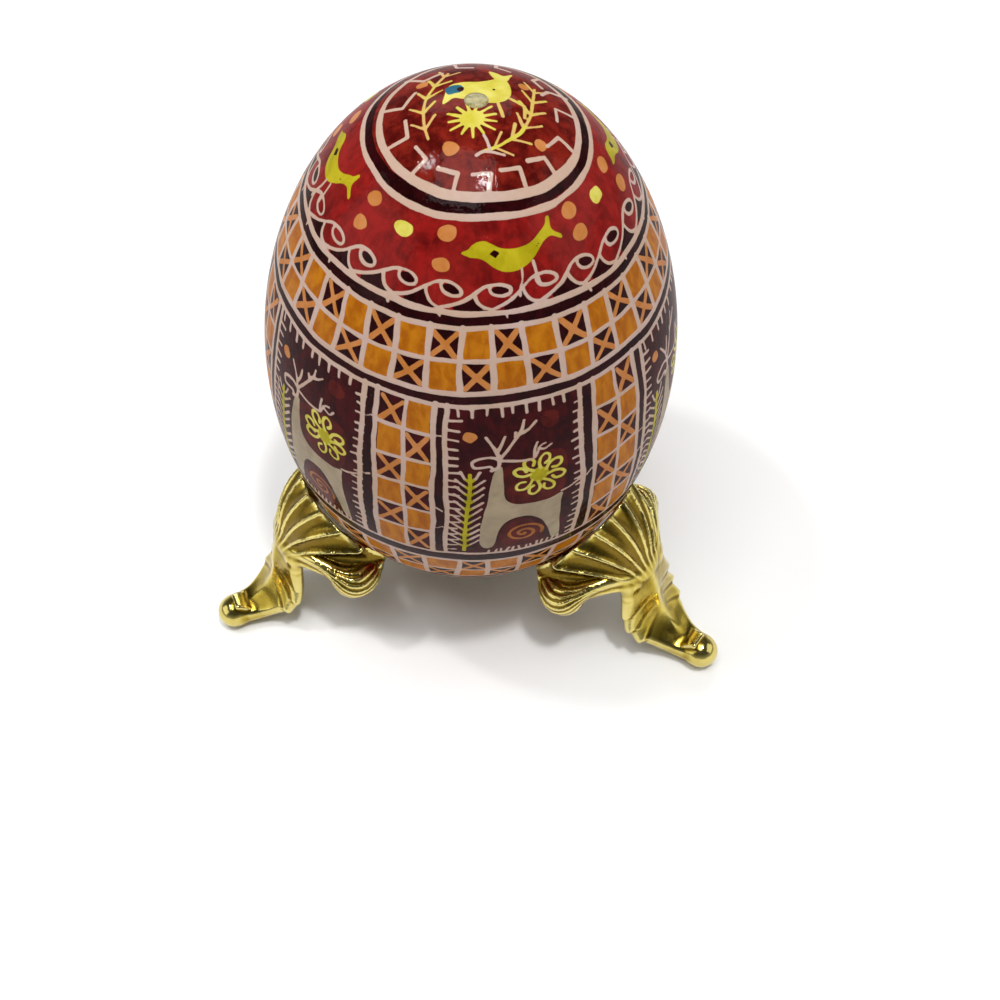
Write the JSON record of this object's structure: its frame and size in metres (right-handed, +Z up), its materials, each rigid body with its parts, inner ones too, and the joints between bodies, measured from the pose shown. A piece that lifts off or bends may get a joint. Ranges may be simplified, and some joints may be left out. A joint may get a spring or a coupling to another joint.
{
  "type": "decorative egg on stand",
  "caption": "Hollow wax-resist decorated eggshell with sealed blow holes, resting loose in a cast tripod stand with fluted leaf legs, scrolled sides and ball feet.",
  "frame": {"origin": "middle of the box around the three feet, on the tabletop; the stand's own axis is at x = 3.1 mm, y = -5.3 mm", "axes": "+Z up; -Y is the front of the object, the side seen in the picture; +X is to the right in that view"},
  "size_m": [0.0592, 0.0572, 0.0657],
  "materials": {
    "eggshell": "dyed eggshell in white, ochre, red and dark maroon under a clear gloss varnish",
    "hole_filler": "hardened filler, satin",
    "gold_tone_metal": "polished gold-tone plating",
    "screw_metal": "plain small slotted screws"
  },
  "bodies": {
    "stand": {"cradle_ring": "gold_tone_metal", "leg_front_right": "gold_tone_metal", "leg_front_left": "gold_tone_metal", "leg_rear": "gold_tone_metal", "leg_screws": "screw_metal"},
    "egg": {"egg_shell": "eggshell", "top_hole_seal": "hole_filler", "bottom_hole_seal": "hole_filler"}
  },
  "joints": [
    {"name": "egg_lift", "type": "slide", "parent": "stand", "child": "egg", "axis": [0, 0, 1], "range_m": [0, 0.045]}
  ]
}
